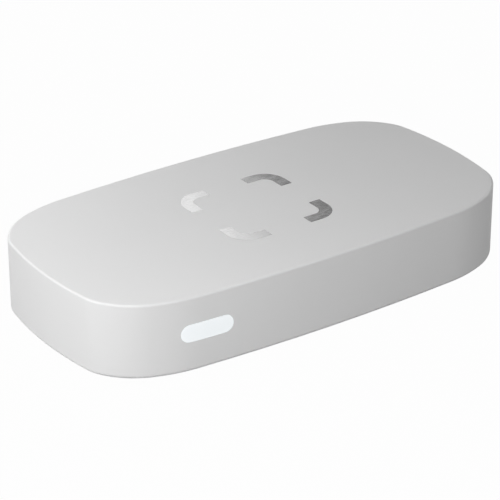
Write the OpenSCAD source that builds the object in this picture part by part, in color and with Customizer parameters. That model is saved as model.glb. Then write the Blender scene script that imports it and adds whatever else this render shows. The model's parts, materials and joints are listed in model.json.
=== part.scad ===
// Video capture box: a low white box with a soft-cornered plan, a status light on its front wall,
// two HDMI sockets and a USB-C socket on its back wall, and one circuit board inside.
// Millimetres. The origin is on the table under the middle of the box. +X runs to the right along
// the front wall, +Y points to the sockets and +Z is up.

/* [Body] */
// Length of the top cover along X
body_w = 106; // [100:0.5:116]
// Depth of the top cover along Y
body_d = 56; // [54:0.5:62]
// Height of the top cover from its rim to its top face
cover_h = 16.75; // [16:0.05:20]
// Thickness of the top cover's side wall
wall = 2; // [1.6:0.1:2.4]
// Thickness of the top cover's roof
roof = 2; // [1.4:0.1:2.4]
// Radius of the edge between the roof and the side wall
top_edge_r = 0.5; // [0.3:0.1:1.2]
// Radius of the side wall's lower outer edge
rim_edge_r = 0.9; // [0.4:0.1:1]

/* [Plan outline] */
// Radius where a corner turns out of the short side
corner_r_short = 10; // [8.5:0.5:13]
// Radius in the middle of a corner
corner_r_mid = 16.5; // [13:0.5:18]
// Radius where a corner runs into the long side
corner_r_long = 32; // [24:1:36]

/* [Base cover] */
// Thickness of the base cover's plate
base_t = 1.8; // [1.5:0.1:2.4]
// How far the plate lies inside the top cover's rim
base_recess = 0.25; // [0.1:0.05:0.5]
// Gap round the plate's edge
base_gap = 0.15; // [0.1:0.05:0.3]
// Width of the ledge in the side wall that the plate seats on
rim_ledge = 0.8; // [0.6:0.1:1]
// Thickness of the lip that locates the base cover inside the side wall
lip_t = 1; // [0.8:0.1:1.4]
// Height of that lip above the plate
lip_h = 1.2; // [0.8:0.1:1.6]
// Gap between the lip and the side wall
lip_gap = 0.15; // [0.1:0.05:0.3]
// Number of cooling slots in the plate
vent_count = 9; // [5:2:9]
// Width of a cooling slot
vent_w = 1.4; // [1:0.1:2]
// Length of a cooling slot
vent_l = 14; // [8:1:20]
// Distance from one cooling slot to the next
vent_pitch = 4; // [3.5:0.5:5]

/* [Feet] */
// Diameter of a rubber foot
foot_d = 9; // [8.5:0.5:11]
// Thickness of a rubber foot
foot_t = 1.6; // [1.4:0.1:2]
// How far the feet hold the rim above the table
foot_stand = 0.8; // [0.6:0.1:1]
// Distance from the end of the body to a foot's centre
foot_inset_x = 11; // [10:0.5:13]
// Distance from the front or back of the body to a foot's centre
foot_inset_y = 11; // [10.5:0.5:13]
// Gap round a foot in its recess
foot_gap = 0.1; // [0.05:0.05:0.2]
// Bevel round a foot's lower edge
foot_bevel = 0.3; // [0.1:0.1:0.5]

/* [Cover screws] */
// Diameter of a cover screw
cover_screw_d = 2.5; // [2:0.1:3]
// Length of a cover screw under its head
cover_screw_l = 8; // [6:0.5:9]
// Diameter of a cover screw's head
cover_head_d = 4.6; // [4:0.1:5]
// Height of a cover screw's head
cover_head_h = 1.5; // [1.2:0.1:1.8]
// Thickness of the base cover under a cover screw's head
clamp_t = 1.5; // [1.2:0.1:2]
// Wall of the pillar round a cover screw's head
pillar_wall = 1.4; // [1:0.1:1.6]
// Diameter of the boss in the top cover that a cover screw bites into
boss_d = 6.5; // [5.5:0.1:7]

/* [Circuit board] */
// Thickness of the circuit board
board_t = 1.6; // [1.2:0.1:1.6]
// Gap from the board's ends to the pillars
board_end_gap = 0.6; // [0.4:0.1:1.2]
// Gap from the board's front edge to the front wall
board_front_gap = 3.5; // [3:0.1:4.5]
// Gap from the board's back edge to the back wall
board_back_gap = 3; // [2.5:0.1:3.4]
// Radius of the board's corners
board_corner_r = 3; // [2:0.5:4]
// Diameter of a board screw
board_screw_d = 2; // [1.6:0.1:2.5]
// Length of a board screw under its head
board_screw_l = 4; // [3.5:0.1:4.2]
// Diameter of a board screw's head
board_head_d = 3.8; // [3.2:0.1:4.4]
// Height of a board screw's head
board_head_h = 1.3; // [1:0.1:1.6]
// Diameter of the posts that carry the board
post_d = 5; // [4.4:0.1:6]
// Distance from the board's end to a board screw
post_inset = 4.5; // [4:0.1:6]

/* [Sockets] */
// Height of the sockets' centre line above the rim
port_h = 8.3; // [7.8:0.1:9]
// Position of the HDMI output socket along X
hdmi_out_x = -21; // [-23:0.5:-20]
// Position of the HDMI input socket along X
hdmi_in_x = 1.5; // [0:0.5:3]
// Position of the USB-C socket along X
usb_x = 22; // [20:0.5:23]
// How far the sockets' mouths lie inside the back wall's face
mouth_recess = 0.6; // [0.3:0.1:1]
// Gap between a socket's shell and its opening in the wall
port_gap = 0.35; // [0.2:0.05:0.5]
// Thickness of the sockets' sheet metal shells
port_shell_t = 0.4; // [0.3:0.05:0.5]
// Width of the HDMI socket's opening
hdmi_w = 14; // [13.8:0.1:14.4]
// Height of the HDMI socket's opening
hdmi_h = 4.55; // [4.4:0.05:4.8]
// Width of the flat at the bottom of the HDMI socket's opening
hdmi_low_w = 10.4; // [9.6:0.1:11]
// Radius of the corners of the HDMI socket's opening
hdmi_corner_r = 0.5; // [0.3:0.1:0.7]
// Length of the HDMI socket's shell
hdmi_l = 11.5; // [10.5:0.1:12]
// Width of the USB-C socket's opening
usb_w = 8.34; // [8.2:0.02:8.6]
// Height of the USB-C socket's opening
usb_h = 2.56; // [2.4:0.02:2.7]
// Length of the USB-C socket's shell
usb_l = 9; // [8:0.1:10]

/* [Status light] */
// Length of the light window
window_w = 11.9; // [10:0.1:14]
// Height of the light window
window_h = 3.85; // [3.6:0.05:4.6]
// Distance from the left end of the body to the window's centre
window_from_end = 22.3; // [21.5:0.1:24]
// Height of the window's centre above the rim
window_up = 8.75; // [8.4:0.05:9.4]
// Gap round the light guide in the wall
window_gap = 0.06; // [0.04:0.01:0.12]
// Thickness of the light guide's flange behind the wall
flange_t = 1; // [0.8:0.1:1.2]
// How far the flange stands out round the window
flange_edge = 1.2; // [0.8:0.1:1.4]
// How far the light guide reaches over the board
guide_reach = 3.7; // [3.6:0.1:5]

/* [Top emblem] */
// Outer size of the square that the four corner marks frame
emblem_w = 26; // [20:1:34]
// Width of a mark's stroke
emblem_stroke = 2.8; // [2:0.1:3.6]
// Length of a mark's legs
emblem_leg = 8; // [6.5:0.5:9]
// Outer radius of a mark's corner
emblem_r = 5; // [4:0.5:6]
// Depth of the pockets that hold the marks
emblem_t = 0.3; // [0.2:0.05:0.5]
// Gap round a mark in its pocket
emblem_gap = 0.04; // [0.02:0.01:0.08]

/* [Heat sink] */
// Length of the heat sink along X
sink_w = 40; // [34:1:42]
// Depth of the heat sink along Y
sink_d = 24; // [18:1:24]
// Thickness of the heat sink's base
sink_base_t = 1.6; // [1.2:0.1:2]
// Number of fins
fin_count = 9; // [5:1:11]
// Thickness of a fin
fin_t = 1; // [0.8:0.1:1.2]
// Gap between the fins and the roof
sink_gap = 1; // [0.6:0.1:2]
// Thickness of the thermal pad on the video processor
pad_t = 0.8; // [0.5:0.1:1]

/* [Hidden] */
$fn = 96;

// Heights above the table
rim_z = foot_stand;
top_z = rim_z + cover_h;
roof_z = top_z - roof;
base_z = rim_z + base_recess;
base_top = base_z + base_t;
port_z = rim_z + port_h;
board_top = port_z - hdmi_h / 2 - port_shell_t;
board_z = board_top - board_t;
window_z = rim_z + window_up;

// Outline of the body: each quarter is five arcs that run smoothly into each other, from the middle of
// the short side to the middle of the long side. The two side radii follow from the body's size.
turns = [0, 10, 31, 68, 86, 90];
corner_radii = [corner_r_short, corner_r_mid, corner_r_long];
corner_run_x = sum([for (i = [0:2]) corner_radii[i] * (cos(turns[i + 1]) - cos(turns[i + 2]))]);
corner_run_y = sum([for (i = [0:2]) corner_radii[i] * (sin(turns[i + 2]) - sin(turns[i + 1]))]);
side_run_x = body_w / 2 - corner_run_x;
side_run_y = body_d / 2 - corner_run_y;
side_det = (1 - cos(turns[1])) * (1 - sin(turns[4])) - cos(turns[4]) * sin(turns[1]);
short_side_r = (side_run_x * (1 - sin(turns[4])) - cos(turns[4]) * side_run_y) / side_det;
long_side_r = ((1 - cos(turns[1])) * side_run_y - sin(turns[1]) * side_run_x) / side_det;
arc_radii = concat([short_side_r], corner_radii, [long_side_r]);
arc_steps = [4, 8, 14, 7, 4];
rim_edge_steps = 5;
top_edge_steps = 5;
corner_steps = 4;

// Feet, cover screws and the pillars that hold them
foot_x = body_w / 2 - foot_inset_x;
foot_y = body_d / 2 - foot_inset_y;
foot_places = [for (y = [-foot_y, foot_y], x = [-foot_x, foot_x]) [x, y]];
head_gap = 0.2;
screw_gap = 0.15;
thread_gap = 0.05;
head_seat_z = foot_t + cover_head_h + head_gap;
pillar_top = head_seat_z + clamp_t;
pillar_d = cover_head_d + 2 * head_gap + 2 * pillar_wall;
bore_end_gap = 1;

// Circuit board and its posts
board_end_x = foot_x - pillar_d / 2 - board_end_gap;
board_front = -(body_d / 2 - wall - board_front_gap);
board_back = body_d / 2 - wall - board_back_gap;
part_gap = 1;
bar_back_y = board_front + guide_reach;
post_x = board_end_x - post_inset;
post_back_y = board_back - post_inset;
post_front_left_y = bar_back_y + part_gap + post_d / 2;
post_front_right_y = board_front + post_inset;
post_places = [
    [-post_x, post_front_left_y], [post_x, post_front_right_y], [-post_x, post_back_y], [post_x, post_back_y]
];
post_floor = 0.6;

// Sockets
port_xs = [hdmi_out_x, hdmi_in_x, usb_x];
mouth_y = min([for (x = port_xs) outline_y(x)]) - mouth_recess;
hdmi_back = mouth_y - hdmi_l;
usb_back = mouth_y - usb_l;
hdmi_shoulder = -0.55;
tongue_recess = 1.2;
leg_w = 1.2;
leg_below = 0.6;
leg_gap = 0.25;
hdmi_leg_steps = [6, 10];
usb_leg_steps = [5.5, 8];
hdmi_block_l = 3.5;
hdmi_tongue = [11.4, 1.2];
hdmi_pins = [10, 9];
hdmi_pin_pitch = 1;
hdmi_tail_pitch = 0.5;
usb_block_l = 3;
usb_cap_t = 1;
usb_plinth_w = 7;
usb_tongue = [6.69, 0.7];
usb_pins = [12, 12];
usb_pin_pitch = 0.5;
contact_t = 0.1;
tail_l = 1.4;

// Status light
window_x = -body_w / 2 + window_from_end;
guide_wall_y = outline_y(window_x) - wall;
bar_side_gap = 0.75;
bar_top_gap = 0.25;
bar_w = window_w - 2 * bar_side_gap;
bar_h = window_h - 2 * bar_top_gap;
bar_low = window_z - bar_h / 2;
led = [2, 1.25, 0.8];
led_pitch = 4;
led_y = bar_back_y - bar_h / 2;
led_gap = 0.4;
shroud_edge = 0.2;
keeper_t = 1.2;
keeper_gap = 0.05;
keeper_pitch = 6;

// Sizes of the parts on the board
processor = [15, 15, 1.5];
memory = [9, 12, 1.1];
receiver = [9, 9, 1];
splitter = [8, 8, 0.9];
controller = [8, 8, 0.9];
flash = [5, 6, 1.5];
crystal = [3.2, 2.5, 0.8];
regulator = [3, 3, 0.9];
inductor = [4, 4, 2.1];
bulk_d = 4;
bulk_h = 5.4;
ceramic = [1, 0.5, 0.5];
esd = [2.4, 1, 0.5];

// Places of the parts on the board, row by row from the sockets to the front
chip_row_gap = 2.5;
chip_row_y = hdmi_back - chip_row_gap - receiver[1] / 2;
esd_side = 6.6;
esd_y = chip_row_y + receiver[1] / 2 - esd[1] / 2;
ceramic_pitch = 2.4;
ceramic_row = 6;
ceramic_off = processor[1] / 2 + part_gap + ceramic[1] / 2;
processor_y = chip_row_y - receiver[1] / 2 - part_gap - ceramic[1] / 2 - ceramic_off;
processor_at = [0, processor_y];
memory_step = processor[0] / 2 + memory[0] / 2 + 2 * part_gap;
left_column_x = -(sink_w / 2 + part_gap + bulk_d / 2);
flash_y = chip_row_y - splitter[1] / 2 - part_gap - flash[1] / 2;
bulk_step = bulk_d + part_gap;
bulk_y = flash_y - flash[1] / 2 - part_gap - bulk_d / 2;
power_count = 4;
power_step = inductor[1] + part_gap;
power_y = chip_row_y - controller[1] / 2 - part_gap - inductor[1] / 2;
regulator_x = sink_w / 2 + 2 * part_gap + regulator[0] / 2;
inductor_x = regulator_x + regulator[0] / 2 + part_gap + inductor[0] / 2;

// Heat sink
sink_z = board_top + processor[2] + pad_t;
sink_h = roof_z - sink_gap - sink_z;

function sum(v, i = 0) = i < len(v) ? v[i] + sum(v, i + 1) : 0;

function direction(a) = [cos(a), sin(a)];

// A vector's direction, with length one
function unit(v) = v / norm(v);

// Centre of arc i in the first quarter
function arc_centre(i) = i == 0
    ? [body_w / 2 - arc_radii[0], 0]
    : arc_centre(i - 1) + (arc_radii[i - 1] - arc_radii[i]) * direction(turns[i]);

// Distance from the X axis to the outline, at x
function outline_y(x, i = 4) =
    i == 0 || abs(x) <= arc_centre(i)[0] + arc_radii[i] * cos(turns[i])
        ? arc_centre(i)[1] + sqrt(arc_radii[i] ^ 2 - (abs(x) - arc_centre(i)[0]) ^ 2)
        : outline_y(x, i - 1);

// Points along the first quarter of the outline, drawn in by inset
function quarter_points(inset) = concat(
    [
        for (i = [0:4], k = [0:arc_steps[i] - 1])
            let (a = turns[i] + (turns[i + 1] - turns[i]) * k / arc_steps[i])
            arc_centre(i) + (arc_radii[i] - inset) * direction(a)
    ],
    [[0, body_d / 2 - inset]]
);

// A closed loop from its first quarter, mirrored over both axes
function full_loop(q) = let (last = len(q) - 1) concat(
    q,
    [for (i = [last - 1:-1:0]) [-q[i][0], q[i][1]]],
    [for (i = [1:last]) -q[i]],
    [for (i = [last - 1:-1:1]) [q[i][0], -q[i][1]]]
);

function outline(inset) = full_loop(quarter_points(inset));

// Levels of the top cover's skin from its rim to its top face, each as [inset, height]
function skin_levels() = concat(
    [
        for (k = [0:rim_edge_steps])
            let (a = 90 * k / rim_edge_steps)
            [rim_edge_r * (1 - sin(a)), rim_z + rim_edge_r * (1 - cos(a))]
    ],
    [
        for (k = [0:top_edge_steps])
            let (a = 90 * k / top_edge_steps)
            [top_edge_r * (1 - cos(a)), top_z - top_edge_r * (1 - sin(a))]
    ]
);

// A convex outline with its corners rounded to radius r
function soft_corners(points, r) =
    let (n = len(points))
    [
        for (i = [0:n - 1])
            let (
                p = points[i],
                a = unit(points[(i + n - 1) % n] - p),
                b = unit(points[(i + 1) % n] - p),
                half_angle = acos(a * b) / 2,
                centre = p + unit(a + b) * r / sin(half_angle),
                start = p + a * r / tan(half_angle) - centre,
                end = p + b * r / tan(half_angle) - centre
            )
            for (k = [0:corner_steps])
                centre + unit(start * (corner_steps - k) + end * k) * r
    ];

// HDMI opening, grown by g: flat top, upright sides and slanted lower corners
function hdmi_outline(g) =
    let (
        half = hdmi_w / 2,
        low = hdmi_low_w / 2,
        slant = atan2(half - low, hdmi_shoulder + hdmi_h / 2),
        side = [half + g, hdmi_shoulder - g * tan(slant / 2)],
        foot = [low + g * tan((90 - slant) / 2), -hdmi_h / 2 - g]
    )
    soft_corners(
        [
            [half + g, hdmi_h / 2 + g], [-half - g, hdmi_h / 2 + g],
            [-side[0], side[1]], [-foot[0], foot[1]], foot, side
        ],
        hdmi_corner_r + g
    );

// The outline's area, drawn in by inset
module plan(inset) {
    polygon(outline(inset));
}

// The top cover's outer form as a solid block, with its rounded edges
module cover_skin() {
    loops = [for (level = skin_levels()) [for (p = outline(level[0])) [p[0], p[1], level[1]]]];
    n = len(loops[0]);
    last = len(loops) - 1;
    polyhedron(
        points = [for (loop = loops) each loop],
        faces = concat(
            [[for (i = [0:n - 1]) i]],
            [
                for (j = [0:last - 1], i = [0:n - 1])
                    let (next = (i + 1) % n)
                    [j * n + i, (j + 1) * n + i, (j + 1) * n + next, j * n + next]
            ],
            [[for (i = [n - 1:-1:0]) last * n + i]]
        )
    );
}

// Extrudes a shape drawn in X and Z from y0 to y1
module along_y(y0, y1) {
    translate([0, y1, 0])
        rotate([90, 0, 0])
            linear_extrude(y1 - y0)
                children();
}

// Extrudes a shape drawn in Y and Z from x0 to x1
module along_x(x0, x1) {
    translate([x0, 0, 0])
        rotate([90, 0, 90])
            linear_extrude(x1 - x0)
                children();
}

module rounded_rect(w, d, r) {
    square([w, d - 2 * r], center = true);
    square([w - 2 * r, d], center = true);
    for (x = [-1, 1], y = [-1, 1])
        translate([x * (w / 2 - r), y * (d / 2 - r)])
            circle(r);
}

// A bar with round ends
module stadium(w, h) {
    square([w - h, h], center = true);
    for (x = [-1, 1])
        translate([x * (w - h) / 2, 0])
            circle(d = h);
}

// A block of the given size that stands on the board at p
module on_board(p, size) {
    translate([p[0] - size[0] / 2, p[1] - size[1] / 2, board_top])
        cube(size);
}

// A screw along +Z with its head's seat at the origin and its head below
module screw(d, l, head_d, head_h) {
    slot_w = head_d / 7;
    slot_l = head_d / 2;
    slot_h = head_h / 2;
    cylinder(h = l, d = d);
    difference() {
        translate([0, 0, -head_h])
            cylinder(h = head_h, d = head_d);
        for (a = [0, 90])
            rotate([0, 0, a])
                translate([-slot_l / 2, -slot_w / 2, -head_h - slot_h])
                    cube([slot_l, slot_w, 2 * slot_h]);
    }
}

module hdmi_opening(x, g) {
    translate([x, port_z])
        polygon(hdmi_outline(g));
}

module usb_opening(g) {
    translate([usb_x, port_z])
        stadium(usb_w + 2 * g, usb_h + 2 * g);
}

module window_shape(g) {
    translate([window_x, window_z])
        stadium(window_w + 2 * g, window_h + 2 * g);
}

// Four corner marks of a square, grown by g
module emblem_shape(g) {
    outer = emblem_w + 2 * g;
    inner = emblem_w - 2 * emblem_stroke - 2 * g;
    reach = emblem_leg + 2 * g;
    intersection() {
        difference() {
            rounded_rect(outer, outer, emblem_r + g);
            rounded_rect(inner, inner, emblem_r - emblem_stroke - g);
        }
        for (x = [-1, 1], y = [-1, 1])
            translate([x * (outer - reach) / 2, y * (outer - reach) / 2])
                square(reach, center = true);
    }
}

module top_cover() {
    boss_overlap = roof / 2;
    color("whitesmoke")
        difference() {
            union() {
                difference() {
                    cover_skin();
                    linear_extrude(roof_z)
                        plan(wall);
                    linear_extrude(base_top)
                        plan(wall - rim_ledge);
                }
                for (p = foot_places)
                    translate([p[0], p[1], pillar_top])
                        cylinder(h = roof_z - pillar_top + boss_overlap, d = boss_d);
                light_keepers();
            }
            for (p = foot_places)
                translate([p[0], p[1], pillar_top - 1])
                    cylinder(h = cover_screw_l - clamp_t + bore_end_gap + 1, d = cover_screw_d + 2 * thread_gap);
            along_y(board_back, body_d)
                for (x = [hdmi_out_x, hdmi_in_x])
                    hdmi_opening(x, port_shell_t + port_gap);
            along_y(board_back, body_d)
                usb_opening(port_shell_t + port_gap);
            along_y(-body_d, board_front)
                window_shape(window_gap);
            translate([0, 0, top_z - emblem_t])
                linear_extrude(2 * emblem_t)
                    emblem_shape(emblem_gap);
        }
}

// Ribs under the roof that hold the light guide down on its shroud
module light_keepers() {
    low = window_z + bar_h / 2 + keeper_gap;
    back = bar_back_y - bar_h;
    for (x = [-1, 1])
        translate([window_x + x * keeper_pitch / 2 - keeper_t / 2, back - keeper_t, low])
            cube([keeper_t, keeper_t, roof_z - low + roof / 2]);
}

module base_cover() {
    lip_inset = wall + lip_gap;
    color("gainsboro")
        difference() {
            union() {
                translate([0, 0, base_z])
                    linear_extrude(base_t)
                        plan(wall - rim_ledge + base_gap);
                translate([0, 0, base_z])
                    linear_extrude(base_t + lip_h)
                        difference() {
                            plan(lip_inset);
                            plan(lip_inset + lip_t);
                        }
                for (p = foot_places)
                    translate([p[0], p[1], base_z])
                        cylinder(h = pillar_top - base_z, d = pillar_d);
                for (p = post_places)
                    translate([p[0], p[1], base_z])
                        cylinder(h = board_z - base_z, d = post_d);
            }
            for (p = foot_places)
                translate([p[0], p[1], 0]) {
                    cylinder(h = foot_t, d = foot_d + 2 * foot_gap);
                    cylinder(h = head_seat_z, d = cover_head_d + 2 * head_gap);
                    cylinder(h = pillar_top + 1, d = cover_screw_d + 2 * screw_gap);
                }
            for (p = post_places)
                translate([p[0], p[1], base_z + post_floor])
                    cylinder(h = board_z, d = board_screw_d + 2 * thread_gap);
            for (i = [0:vent_count - 1])
                translate([(i - (vent_count - 1) / 2) * vent_pitch, 0, 0])
                    rotate([0, 0, 90])
                        linear_extrude(base_top + 1)
                            stadium(vent_l, vent_w);
        }
}

module foot(i) {
    color("darkgray")
        translate([foot_places[i][0], foot_places[i][1], 0]) {
            cylinder(h = foot_bevel, d1 = foot_d - 2 * foot_bevel, d2 = foot_d);
            translate([0, 0, foot_bevel])
                cylinder(h = foot_t - foot_bevel, d = foot_d);
        }
}

module cover_screws() {
    color("silver")
        for (p = foot_places)
            translate([p[0], p[1], head_seat_z])
                screw(cover_screw_d, cover_screw_l, cover_head_d, cover_head_h);
}

// Clear guide: a plug through the wall, a flange behind it and a bar whose slanted end turns light forward
module light_guide() {
    flange_y = -guide_wall_y + flange_t;
    color("aliceblue") {
        intersection() {
            along_y(-body_d, flange_y)
                window_shape(0);
            linear_extrude(top_z)
                plan(0);
        }
        intersection() {
            union() {
                along_y(-body_d, flange_y)
                    window_shape(flange_edge);
                along_x(window_x - bar_w / 2, window_x + bar_w / 2)
                    polygon([
                        [-body_d, bar_low], [bar_back_y, bar_low],
                        [bar_back_y - bar_h, bar_low + bar_h], [-body_d, bar_low + bar_h]
                    ]);
            }
            linear_extrude(top_z)
                plan(wall);
        }
    }
}

// Frame that keeps each light to its own part of the guide
module light_shroud() {
    depth = bar_back_y - board_front - shroud_edge;
    color("dimgray")
        difference() {
            on_board([window_x, bar_back_y - depth / 2], [bar_w, depth, bar_low - board_top]);
            for (i = [-1:1])
                translate([0, 0, -1])
                    on_board(
                        [window_x + i * led_pitch, led_y],
                        [led[0] + 2 * led_gap, led[1] + 2 * led_gap, bar_low]
                    );
        }
}

module status_leds() {
    color("white")
        for (i = [-1:1])
            on_board([window_x + i * led_pitch, led_y], led);
}

module main_board() {
    mid_y = (board_front + board_back) / 2;
    color("darkgreen")
        translate([0, 0, board_z])
            linear_extrude(board_t)
                difference() {
                    translate([0, mid_y])
                        rounded_rect(2 * board_end_x, board_back - board_front, board_corner_r);
                    for (p = post_places)
                        translate(p)
                            circle(d = board_screw_d + 2 * screw_gap);
                    for (x = [hdmi_out_x, hdmi_in_x])
                        leg_slots(x, hdmi_w, hdmi_leg_steps);
                    leg_slots(usb_x, usb_w, usb_leg_steps);
                }
}

// Slots in the board for the legs of a socket's shell
module leg_slots(x, opening_w, steps) {
    for (s = [-1, 1], step = steps)
        translate([x + s * (opening_w + port_shell_t) / 2, mouth_y - step])
            square([port_shell_t + 2 * leg_gap, leg_w + 2 * leg_gap], center = true);
}

module board_screws() {
    color("silver")
        for (p = post_places)
            translate([p[0], p[1], board_top])
                mirror([0, 0, 1])
                    screw(board_screw_d, board_screw_l, board_head_d, board_head_h);
}

// Legs of a socket's shell, from its side walls down through the board
module shell_legs(x, opening_w, steps) {
    for (s = [-1, 1], step = steps)
        translate([x + s * (opening_w + port_shell_t) / 2, mouth_y - step, 0])
            translate([-port_shell_t / 2, -leg_w / 2, board_z - leg_below])
                cube([port_shell_t, leg_w, port_z - board_z + leg_below]);
}

module hdmi_shell(x) {
    color("silver") {
        along_y(hdmi_back, mouth_y)
            difference() {
                hdmi_opening(x, port_shell_t);
                hdmi_opening(x, 0);
            }
        shell_legs(x, hdmi_w, hdmi_leg_steps);
    }
}

module hdmi_insulator(x) {
    color("black") {
        along_y(hdmi_back, hdmi_back + hdmi_block_l)
            hdmi_opening(x, 0);
        along_y(hdmi_back, mouth_y - tongue_recess)
            translate([x, port_z])
                square(hdmi_tongue, center = true);
    }
}

// Contact strips on both faces of a tongue
module tongue_strips(x, tongue, pins, pitch, y0, y1) {
    for (face = [0, 1], i = [0:pins[face] - 1])
        translate([
            x + (i - (pins[face] - 1) / 2) * pitch - pitch / 4,
            y0,
            port_z + (face == 0 ? tongue[1] / 2 : -tongue[1] / 2 - contact_t)
        ])
            cube([pitch / 2, y1 - y0, contact_t]);
}

// Solder tails in a row on the board behind a socket
module solder_tails(x, count, pitch, back) {
    rise = hdmi_h / 2;
    for (i = [0:count - 1])
        translate([x + (i - (count - 1) / 2) * pitch - pitch / 4, back, board_top]) {
            translate([0, -tail_l, 0])
                cube([pitch / 2, tail_l, 2 * contact_t]);
            translate([0, -2 * contact_t, 0])
                cube([pitch / 2, 2 * contact_t, rise]);
        }
}

module hdmi_contacts(x) {
    color("gold") {
        tongue_strips(
            x, hdmi_tongue, hdmi_pins, hdmi_pin_pitch,
            hdmi_back + hdmi_block_l, mouth_y - tongue_recess - hdmi_tongue[1]
        );
        solder_tails(x, hdmi_pins[0] + hdmi_pins[1], hdmi_tail_pitch, hdmi_back);
    }
}

module usb_shell() {
    color("silver") {
        along_y(usb_back, mouth_y)
            difference() {
                usb_opening(port_shell_t);
                usb_opening(0);
            }
        shell_legs(usb_x, usb_w, usb_leg_steps);
    }
}

// Block and tongue inside the shell, a cap behind it and the plinth that lifts it to the sockets' centre line
module usb_insulator() {
    cap_back = usb_back - usb_cap_t;
    plinth_h = port_z - usb_h / 2 - port_shell_t - board_top;
    color("black") {
        along_y(usb_back, usb_back + usb_block_l)
            usb_opening(0);
        along_y(usb_back, mouth_y - tongue_recess)
            translate([usb_x, port_z])
                square(usb_tongue, center = true);
        translate([usb_x - usb_plinth_w / 2, cap_back, board_top])
            cube([usb_plinth_w, usb_cap_t, port_z + usb_h / 2 - board_top]);
        translate([usb_x - usb_plinth_w / 2, cap_back, board_top])
            cube([usb_plinth_w, board_back - cap_back, plinth_h]);
    }
}

module usb_contacts() {
    color("gold") {
        tongue_strips(
            usb_x, usb_tongue, usb_pins, usb_pin_pitch,
            usb_back + usb_block_l, mouth_y - tongue_recess - usb_tongue[1]
        );
        solder_tails(usb_x, usb_pins[0], usb_pin_pitch, usb_back - usb_cap_t);
    }
}

module video_processor() {
    color("dimgray")
        on_board(processor_at, processor);
}

module memory_chips() {
    color("dimgray")
        for (s = [-1, 1])
            on_board([processor_at[0] + s * memory_step, processor_at[1]], memory);
}

module hdmi_receiver() {
    color("dimgray")
        on_board([hdmi_in_x, chip_row_y], receiver);
}

module hdmi_splitter() {
    color("dimgray")
        on_board([hdmi_out_x, chip_row_y], splitter);
}

module usb_controller() {
    color("dimgray")
        on_board([usb_x, chip_row_y], controller);
}

module flash_chip() {
    color("dimgray")
        on_board([left_column_x, flash_y], flash);
}

module crystals() {
    color("silver")
        for (x = [(hdmi_out_x + hdmi_in_x) / 2, (hdmi_in_x + usb_x) / 2])
            on_board([x, chip_row_y], crystal);
}

module regulators() {
    color("dimgray")
        for (i = [0:power_count - 1])
            on_board([regulator_x, power_y - i * power_step], regulator);
}

module inductors() {
    color("gray")
        for (i = [0:power_count - 1])
            on_board([inductor_x, power_y - i * power_step], inductor);
}

module bulk_capacitors() {
    color("lightgray")
        for (i = [0, 1])
            translate([left_column_x, bulk_y - i * bulk_step, board_top])
                cylinder(h = bulk_h, d = bulk_d);
}

module ceramic_capacitors() {
    color("tan")
        for (s = [-1, 1], i = [0:ceramic_row - 1])
            on_board(
                [processor_at[0] + (i - (ceramic_row - 1) / 2) * ceramic_pitch, processor_at[1] + s * ceramic_off],
                ceramic
            );
}

module esd_arrays() {
    color("black")
        for (x = [hdmi_out_x, hdmi_in_x], s = [-1, 1])
            on_board([x + s * esd_side, esd_y], esd);
}

module thermal_pads() {
    color("lightblue") {
        translate([0, 0, processor[2]])
            on_board(processor_at, [processor[0], processor[1], pad_t]);
        for (s = [-1, 1])
            translate([0, 0, memory[2]])
                on_board(
                    [processor_at[0] + s * memory_step, processor_at[1]],
                    [memory[0], memory[1], sink_z - board_top - memory[2]]
                );
    }
}

module heat_sink() {
    fin_pitch = (sink_d - fin_t) / (fin_count - 1);
    color("lightslategray")
        translate([processor_at[0] - sink_w / 2, processor_at[1] - sink_d / 2, sink_z]) {
            cube([sink_w, sink_d, sink_base_t]);
            for (i = [0:fin_count - 1])
                translate([0, i * fin_pitch, 0])
                    cube([sink_w, fin_t, sink_h]);
        }
}

module top_emblem() {
    color("silver")
        translate([0, 0, top_z - emblem_t])
            linear_extrude(emblem_t)
                emblem_shape(0);
}

top_cover();
base_cover();
foot(0);  // foot_front_left
foot(1);  // foot_front_right
foot(2);  // foot_back_left
foot(3);  // foot_back_right
cover_screws();
light_guide();
light_shroud();
status_leds();
main_board();
board_screws();
hdmi_shell(hdmi_out_x);  // hdmi_out_shell
hdmi_insulator(hdmi_out_x);  // hdmi_out_insulator
hdmi_contacts(hdmi_out_x);  // hdmi_out_contacts
hdmi_shell(hdmi_in_x);  // hdmi_in_shell
hdmi_insulator(hdmi_in_x);  // hdmi_in_insulator
hdmi_contacts(hdmi_in_x);  // hdmi_in_contacts
usb_shell();
usb_insulator();
usb_contacts();
video_processor();
memory_chips();
hdmi_receiver();
hdmi_splitter();
usb_controller();
flash_chip();
crystals();
regulators();
inductors();
bulk_capacitors();
ceramic_capacitors();
esd_arrays();
thermal_pads();
heat_sink();
top_emblem();
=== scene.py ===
"""Looks of the video capture box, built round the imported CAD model. Metres, in the CAD frame."""

import json
import math

import bpy
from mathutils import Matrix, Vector


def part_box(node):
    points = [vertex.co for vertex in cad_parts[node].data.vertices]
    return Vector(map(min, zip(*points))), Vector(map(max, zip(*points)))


MM = 0.001

# The camera of the photograph, as found from the outline of the body in it
CAMERA_TARGET = Vector((-3.462, -2.693, 9.175)) * MM
CAMERA_AZIMUTH = math.radians(-34.968)
CAMERA_ELEVATION = math.radians(26.869)
CAMERA_DISTANCE = 0.50784
CAMERA_LENS = 171.94
CAMERA_SENSOR = 36.0
CAMERA_NEAR, CAMERA_FAR = 0.01, 20.0

# Corners of facets closer than this are joined, and faces that meet at a larger angle keep a crisp edge
WELD_DISTANCE = 0.002 * MM
SHARP_ANGLE = math.radians(32.0)
LARGE_FACE_WEIGHT = 100

# Noise has most of its values between these two, so colour and gloss drift over this stretch
NOISE_LOW, NOISE_HIGH = 0.3, 0.7
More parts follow.
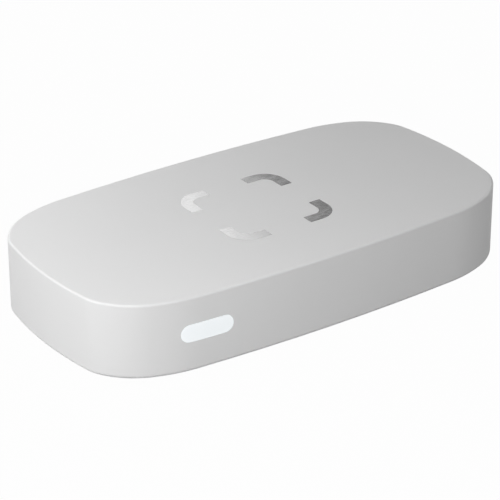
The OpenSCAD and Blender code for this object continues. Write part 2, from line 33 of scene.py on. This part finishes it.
# How far the gloss drifts to either side, and how strongly the grain stands out
PLASTIC_DRIFT, PLASTIC_BUMP = 0.05, 0.35
METAL_DRIFT, METAL_BUMP = 0.07, 0.4
# Patches of gloss on plastic are four times as large as its grain
GLOSS_TO_GRAIN = 0.25
METAL_BLOTCH = 120.0

# Copper traces under the solder mask run along the edges of cells and end this far from them
TRACE_SCALE = 420.0
TRACE_START, TRACE_END = 0.03, 0.06
TRACE_HEIGHT = 0.02 * MM
MASK_GRAIN = 600.0

# Status light on the front wall: centre, half length of its straight part and half height
WINDOW_X, WINDOW_Z = -30.7 * MM, 9.55 * MM
WINDOW_HALF_RUN, WINDOW_HALF_HEIGHT = 4.02 * MM, 1.92 * MM
# Its glow in the middle, its glow at the rim with a painted highlight added, and the two sides of that
# painted rim highlight as shares of the half height
GLOW_MIDDLE, GLOW_AND_RIM_HIGHLIGHT = 0.45, 0.48
RIM_HIGHLIGHT_START, RIM_HIGHLIGHT_END = 0.72, 0.96
GLOW_COLOUR = (0.934, 0.978, 1.0, 1.0)
WINDOW_IOR = 1.49

FLOOR_RADIUS = 3.0
FLOOR_POINTS = 96
FLOOR_GREY = 0.4
# Share of plain white in the floor, as the camera and as reflections see it; the rest takes the shadow
FLOOR_WHITE = 0.98
FLOOR_MIRRORED = 0.5
# An opening in the floor, hidden under the object, lets light from below reach the underside
OPENING_HALF = (50.5 * MM, 25.5 * MM)
OPENING_POWER = 0.45

WORLD_LIGHT = 0.38
# The studio's walls are white up to this height of a direction, and its ceiling is dimmer
CEILING_START = 0.3
CEILING_LIGHT = 0.45

# A grey card for reflections, where the polished marks mirror it to the photograph's camera
CARD_DISTANCE = 0.2
CARD_LEFT, CARD_RIGHT, CARD_HALF_HEIGHT = -0.05, 0.16, 0.11
# It fades from light to dark over twice this length, down to the right
CARD_FADE = 0.011
CARD_SLANT = math.radians(-40.0)
CARD_LIGHT, CARD_DARK = 1.0, 0.15

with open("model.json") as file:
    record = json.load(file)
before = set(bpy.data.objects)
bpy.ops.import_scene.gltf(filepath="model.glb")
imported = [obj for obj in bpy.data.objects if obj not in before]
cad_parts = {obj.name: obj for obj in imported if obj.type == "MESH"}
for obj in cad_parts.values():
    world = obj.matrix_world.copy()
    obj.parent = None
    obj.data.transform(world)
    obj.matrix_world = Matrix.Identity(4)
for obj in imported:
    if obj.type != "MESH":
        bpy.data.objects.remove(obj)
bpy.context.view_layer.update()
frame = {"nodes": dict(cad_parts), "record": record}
scene = bpy.context.scene


class NodeGraph:
    """The nodes of a material or of the world, under construction."""

    def __init__(self, tree):
        self.tree = tree

    def link(self, source, target):
        self.tree.links.new(source, target)

    def feed(self, socket, value):
        """Gives an input another node's output or a plain value."""
        if isinstance(value, bpy.types.NodeSocket):
            self.link(value, socket)
        else:
            socket.default_value = value

    def add(self, kind, **values):
        """Adds a node. A value that isn't one of the node's settings goes to the input of that name."""
        node = self.tree.nodes.new(kind)
        for key, value in values.items():
            if hasattr(node, key):
                setattr(node, key, value)
            else:
                self.feed(node.inputs[key.replace("_", " ")], value)
        return node

    def maths(self, operation, *values):
        node = self.add("ShaderNodeMath", operation=operation)
        for socket, value in zip(node.inputs, values):
            self.feed(socket, value)
        return node.outputs["Value"]

    def spread(self, factor, low, high, start=NOISE_LOW, end=NOISE_HIGH):
        """Goes from low to high as the factor goes from start to end."""
        node = self.add(
            "ShaderNodeMapRange", Value=factor, From_Min=start, From_Max=end, To_Min=low, To_Max=high
        )
        return node.outputs["Result"]

    def seen_or_mirrored(self, seen, mirrored):
        """One value for camera rays, one for reflections, and zero for the rays that carry light."""
        path = self.add("ShaderNodeLightPath")
        total = 0.0
        for kind, share in (("Camera", seen), ("Glossy", mirrored), ("Transmission", mirrored)):
            total = self.maths("MULTIPLY_ADD", path.outputs[f"Is {kind} Ray"], share, total)
        return total


class Finish(NodeGraph):
    """One procedural material under construction."""

    def __init__(self, name):
        self.material = bpy.data.materials.new(name)
        self.material.use_nodes = True
        super().__init__(self.material.node_tree)
        self.shader = self.tree.nodes["Principled BSDF"]
        self.place = self.add("ShaderNodeTexCoord").outputs["Object"]

    def set(self, **values):
        for key, value in values.items():
            self.feed(self.shader.inputs[key.replace("_", " ")], value)

    def replace_shader(self, output):
        self.tree.nodes.remove(self.shader)
        self.link(output, self.tree.nodes["Material Output"].inputs["Surface"])

    def noise(self, scale, detail=2.0, roughness=0.5, stretch=None):
        place = self.place
        if stretch:
            place = self.add("ShaderNodeMapping", Vector=place, Scale=stretch).outputs["Vector"]
        node = self.add("ShaderNodeTexNoise", Vector=place, Scale=scale, Detail=detail, Roughness=roughness)
        return node.outputs["Fac"]

    def cell_edges(self, scale):
        node = self.add("ShaderNodeTexVoronoi", feature="DISTANCE_TO_EDGE", Vector=self.place, Scale=scale)
        return node.outputs["Distance"]

    def colours(self, factor, low, high, start=NOISE_LOW, end=NOISE_HIGH):
        """Fades from one colour to the other as the factor goes from start to end."""
        node = self.add("ShaderNodeValToRGB", Fac=factor)
        for point, position, colour in zip(node.color_ramp.elements, (start, end), (low, high)):
            point.position = position
            point.color = (*colour, 1.0)
        return node.outputs["Color"]

    def bump(self, height, distance, strength):
        node = self.add("ShaderNodeBump", Height=height, Distance=distance, Strength=strength)
        return node.outputs["Normal"]

    def mixed(self, share, first, second):
        node = self.add("ShaderNodeMixShader", Fac=share)
        self.link(first, node.inputs[1])
        self.link(second, node.inputs[2])
        return node.outputs["Shader"]


def grey(value):
    return (value, value, value)


def moulded(name, dark, light, rough, grain=5200.0, depth=0.012 * MM, blotch=28.0):
    """Moulded plastic or rubber: a fine eroded grain, with slight drift in colour and gloss."""
    f = Finish(name)
    gloss = f.noise(grain * GLOSS_TO_GRAIN)
    f.set(
        Base_Color=f.colours(f.noise(blotch, detail=3.0), dark, light),
        Roughness=f.spread(gloss, rough - PLASTIC_DRIFT, rough + PLASTIC_DRIFT),
        Normal=f.bump(f.noise(grain, detail=1.0), depth, PLASTIC_BUMP),
    )
    return f


def metal(name, dark, light, rough, stretch=(1.0, 1.0, 1.0), grain=900.0, depth=0.004 * MM):
    """Bare metal with fine rolling or brushing lines along one axis."""
    f = Finish(name)
    lines = f.noise(grain, detail=3.0, roughness=0.6, stretch=stretch)
    f.set(
        Metallic=1.0,
        Base_Color=f.colours(f.noise(METAL_BLOTCH), dark, light),
        Roughness=f.spread(lines, rough - METAL_DRIFT, rough + METAL_DRIFT),
        Normal=f.bump(lines, depth, METAL_BUMP),
    )
    return f


def light_window():
    """Milky diffuser, lit from behind, with a painted highlight that makes it a little brighter round its
    rim.
    """
    f = moulded(
        "milky_window", (0.60, 0.62, 0.635), (0.62, 0.64, 0.65), 0.28, grain=3000.0, depth=0.004 * MM
    )
    axes = f.add("ShaderNodeSeparateXYZ", Vector=f.place).outputs
    along = f.maths("ABSOLUTE", f.maths("SUBTRACT", axes["X"], WINDOW_X))
    past = f.maths("MAXIMUM", f.maths("SUBTRACT", along, WINDOW_HALF_RUN), 0.0)
    up = f.maths("SUBTRACT", axes["Z"], WINDOW_Z)
    reach = f.maths("SQRT", f.maths("ADD", f.maths("MULTIPLY", past, past), f.maths("MULTIPLY", up, up)))
    # The glow rises towards the rim: a painted highlight on the window's edge, on top of its glow
    glow = f.spread(
        reach, GLOW_MIDDLE, GLOW_AND_RIM_HIGHLIGHT, WINDOW_HALF_HEIGHT * RIM_HIGHLIGHT_START, WINDOW_HALF_HEIGHT * RIM_HIGHLIGHT_END
    )
    f.set(Emission_Color=GLOW_COLOUR, Emission_Strength=glow, IOR=WINDOW_IOR)
    return f


def circuit_board():
    """Green solder mask over copper traces."""
    f = Finish("solder_mask")
    traces = f.cell_edges(TRACE_SCALE)
    f.set(
        Base_Color=f.colours(traces, (0.02, 0.16, 0.07), (0.01, 0.09, 0.04), TRACE_START, TRACE_END),
        Roughness=f.spread(f.noise(MASK_GRAIN), 0.28, 0.4),
        Normal=f.bump(traces, TRACE_HEIGHT, METAL_BUMP),
    )
    return f


# By material slot: dark and light colour and roughness, then what differs from the usual grain
finishes = {
    "cover_white": moulded("white_plastic", grey(0.800), grey(0.815), 0.38),
    "base_grey": moulded("base_plastic", grey(0.60), grey(0.63), 0.6, grain=2600.0, depth=0.03 * MM),
    "foot_rubber": moulded(
        "rubber", grey(0.055), grey(0.075), 0.8, grain=3200.0, depth=0.03 * MM, blotch=300.0
    ),
    "screw_steel": metal("screw_steel", grey(0.50), grey(0.58), 0.32),
    "light_window": light_window(),
    "shroud_black": moulded("black_plastic", grey(0.02), grey(0.03), 0.55),
    "led_white": moulded("led_body", (0.80, 0.78, 0.66), (0.85, 0.83, 0.72), 0.4),
    "board_green": circuit_board(),
    "port_steel": metal(
        "nickel_plate", (0.60, 0.585, 0.56), (0.66, 0.645, 0.62), 0.27, stretch=(1.0, 0.08, 1.0)
    ),
    "insulator_black": moulded(
        "port_plastic", grey(0.016), grey(0.024), 0.42, grain=4200.0, depth=0.008 * MM
    ),
    "contact_gold": metal(
        "gold_plate", (0.80, 0.58, 0.24), (0.87, 0.65, 0.30), 0.24, stretch=(1.0, 0.1, 1.0)
    ),
    "chip_black": moulded(
        "chip_epoxy", grey(0.020), grey(0.032), 0.6, grain=4500.0, depth=0.02 * MM, blotch=200.0
    ),
    "can_steel": metal("crystal_can", grey(0.60), grey(0.68), 0.3),
    "inductor_grey": moulded(
        "ferrite", grey(0.09), grey(0.13), 0.7, grain=2600.0, depth=0.05 * MM, blotch=300.0
    ),
    "can_aluminium": metal("aluminium_can", grey(0.74), grey(0.80), 0.28),
    "capacitor_tan": moulded(
        "ceramic", (0.36, 0.25, 0.15), (0.44, 0.31, 0.20), 0.5,
        grain=3000.0, depth=0.01 * MM, blotch=400.0,
    ),
    "pad_blue": moulded(
        "silicone_pad", (0.22, 0.33, 0.48), (0.27, 0.38, 0.53), 0.75,
        grain=1500.0, depth=0.05 * MM, blotch=150.0,
    ),
    "sink_aluminium": metal(
        "brushed_aluminium", grey(0.62), grey(0.70), 0.4, stretch=(0.05, 1.0, 1.0), grain=1500.0
    ),
    "emblem_silver": metal(
        "polished_silver", grey(0.86), grey(0.90), 0.2,
        stretch=(0.3, 1.0, 1.0), grain=2200.0, depth=0.002 * MM,
    ),
}


def clean_shading(node):
    """Joins the CAD facets again, so that curved faces shade smoothly and real edges stay crisp."""
    weld = node.modifiers.new("weld", "WELD")
    weld.merge_threshold = WELD_DISTANCE
    split = node.modifiers.new("edges", "EDGE_SPLIT")
    split.split_angle = SHARP_ANGLE
    normals = node.modifiers.new("normals", "WEIGHTED_NORMAL")
    normals.mode = "FACE_AREA"
    normals.weight = LARGE_FACE_WEIGHT


slot_of = {row["node"]: row["material_slot"] for row in frame["record"]["subparts"]}
for name, node in frame["nodes"].items():
    node.data.materials.clear()
    node.data.materials.append(finishes[slot_of[name]].material)
    node.data.shade_smooth()
    clean_shading(node)


def direction(azimuth, elevation):
    """Unit vector towards a viewer at that angle: azimuth 0 stands before the front wall."""
    return Vector((
        math.sin(azimuth) * math.cos(elevation),
        -math.cos(azimuth) * math.cos(elevation),
        math.sin(elevation),
    ))


def facing(way):
    """Rotation that turns a camera, a light or the card to look that way."""
    return way.to_track_quat("-Z", "Y").to_euler()


def add_camera():
    data = bpy.data.cameras.new("photo_camera")
    data.lens = CAMERA_LENS
    data.sensor_width = CAMERA_SENSOR
    data.clip_start, data.clip_end = CAMERA_NEAR, CAMERA_FAR
    camera = bpy.data.objects.new("photo_camera", data)
    back = direction(CAMERA_AZIMUTH, CAMERA_ELEVATION)
    camera.location = CAMERA_TARGET + back * CAMERA_DISTANCE
    camera.rotation_euler = facing(-back)
    scene.collection.objects.link(camera)
    scene.camera = camera


def bulged(value):
    """Pushes a sine or cosine outwards, which turns an ellipse into a rectangle with round corners."""
    return math.copysign(abs(value) ** OPENING_POWER, value)


def floor_mesh():
    """A wide disc round the opening."""
    turns = [math.tau * k / FLOOR_POINTS for k in range(FLOOR_POINTS)]
    outer = [(FLOOR_RADIUS * math.cos(t), FLOOR_RADIUS * math.sin(t), 0.0) for t in turns]
    half_x, half_y = OPENING_HALF
    inner = [(half_x * bulged(math.cos(t)), half_y * bulged(math.sin(t)), 0.0) for t in turns]
    faces = []
    for k in range(FLOOR_POINTS):
        after = (k + 1) % FLOOR_POINTS
        faces.append((k, after, after + FLOOR_POINTS, k + FLOOR_POINTS))
    mesh = bpy.data.meshes.new("floor")
    mesh.from_pydata(outer + inner, [], faces)
    return mesh


def add_floor():
    mesh = floor_mesh()
    floor = bpy.data.objects.new("floor", mesh)
    scene.collection.objects.link(floor)
    f = Finish("pale_floor")
    matte = f.add("ShaderNodeBsdfDiffuse", Color=(*grey(FLOOR_GREY), 1.0)).outputs["BSDF"]
    glow = f.add("ShaderNodeEmission").outputs["Emission"]
    pale = f.mixed(f.seen_or_mirrored(FLOOR_WHITE, FLOOR_MIRRORED), matte, glow)
    # Seen from below, the floor gives way, so that the underside can be looked at
    below = f.add("ShaderNodeNewGeometry").outputs["Backfacing"]
    clear = f.add("ShaderNodeBsdfTransparent").outputs["BSDF"]
    f.replace_shader(f.mixed(below, pale, clear))
    mesh.materials.append(f.material)


def add_card():
    """Stands where the top face mirrors it, and gives the marks their fade from light to dark."""
    mesh = bpy.data.meshes.new("grey_card")
    low, high = -CARD_HALF_HEIGHT, CARD_HALF_HEIGHT
    corners = [(CARD_LEFT, low, 0), (CARD_RIGHT, low, 0), (CARD_RIGHT, high, 0), (CARD_LEFT, high, 0)]
    mesh.from_pydata(corners, [], [(0, 1, 2, 3)])
    card = bpy.data.objects.new("grey_card", mesh)
    mirrored = direction(math.pi + CAMERA_AZIMUTH, CAMERA_ELEVATION)
    card.location = Vector((0.0, 0.0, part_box("top_emblem")[1].z)) + mirrored * CARD_DISTANCE
    card.rotation_euler = facing(mirrored)
    scene.collection.objects.link(card)
    card.visible_camera = card.visible_diffuse = card.visible_shadow = False
    f = Finish("grey_card")
    along = f.add("ShaderNodeVectorMath", operation="DOT_PRODUCT", Vector=f.place)
    along.inputs[1].default_value = (math.cos(CARD_SLANT), math.sin(CARD_SLANT), 0.0)
    fade = f.spread(along.outputs["Value"], CARD_LIGHT, CARD_DARK, -CARD_FADE, CARD_FADE)
    f.replace_shader(f.add("ShaderNodeEmission", Strength=fade).outputs["Emission"])
    mesh.materials.append(f.material)


def add_world():
    """A white room for the camera and for reflections, and an even light for all else."""
    world = bpy.data.worlds.new("studio")
    world.use_nodes = True
    scene.world = world
    graph = NodeGraph(world.node_tree)
    axes = graph.add("ShaderNodeSeparateXYZ", Vector=graph.add("ShaderNodeTexCoord").outputs["Generated"])
    room = graph.spread(axes.outputs["Z"], 1.0, CEILING_LIGHT, CEILING_START, 1.0)
    strength = graph.spread(graph.seen_or_mirrored(1.0, 1.0), WORLD_LIGHT, room, 0.0, 1.0)
    background = graph.tree.nodes["Background"]
    background.inputs["Color"].default_value = (*grey(1.0), 1.0)
    graph.link(strength, background.inputs["Strength"])


def add_softbox(name, azimuth, elevation, distance, side, watts):
    """A square light turned to the origin. Its angles are in degrees."""
    data = bpy.data.lights.new(name, "AREA")
    data.shape = "SQUARE"
    data.size = side
    data.energy = watts
    lamp = bpy.data.objects.new(name, data)
    back = direction(math.radians(azimuth), math.radians(elevation))
    lamp.location = back * distance
    lamp.rotation_euler = facing(-back)
    scene.collection.objects.link(lamp)
    return lamp


add_camera()
add_floor()
add_card()
add_world()
front = add_softbox("front", azimuth=-45.0, elevation=30.0, distance=0.24, side=0.16, watts=0.25)
left = add_softbox("left", azimuth=-105.0, elevation=30.0, distance=0.24, side=0.16, watts=0.16)
add_softbox("back", azimuth=180.0, elevation=18.0, distance=0.33, side=0.34, watts=0.21)
glint = add_softbox("glint", azimuth=-89.0, elevation=57.0, distance=0.24, side=0.06, watts=0.12)
# Reflections don't show these two, which would burn out the roof in low views from behind and the right
front.visible_glossy = left.visible_glossy = False
# This one is only for the highlight on the rounded edge at the near corner
glint.visible_diffuse = False

scene.view_settings.view_transform = "Standard"

bpy.context.view_layer.update()
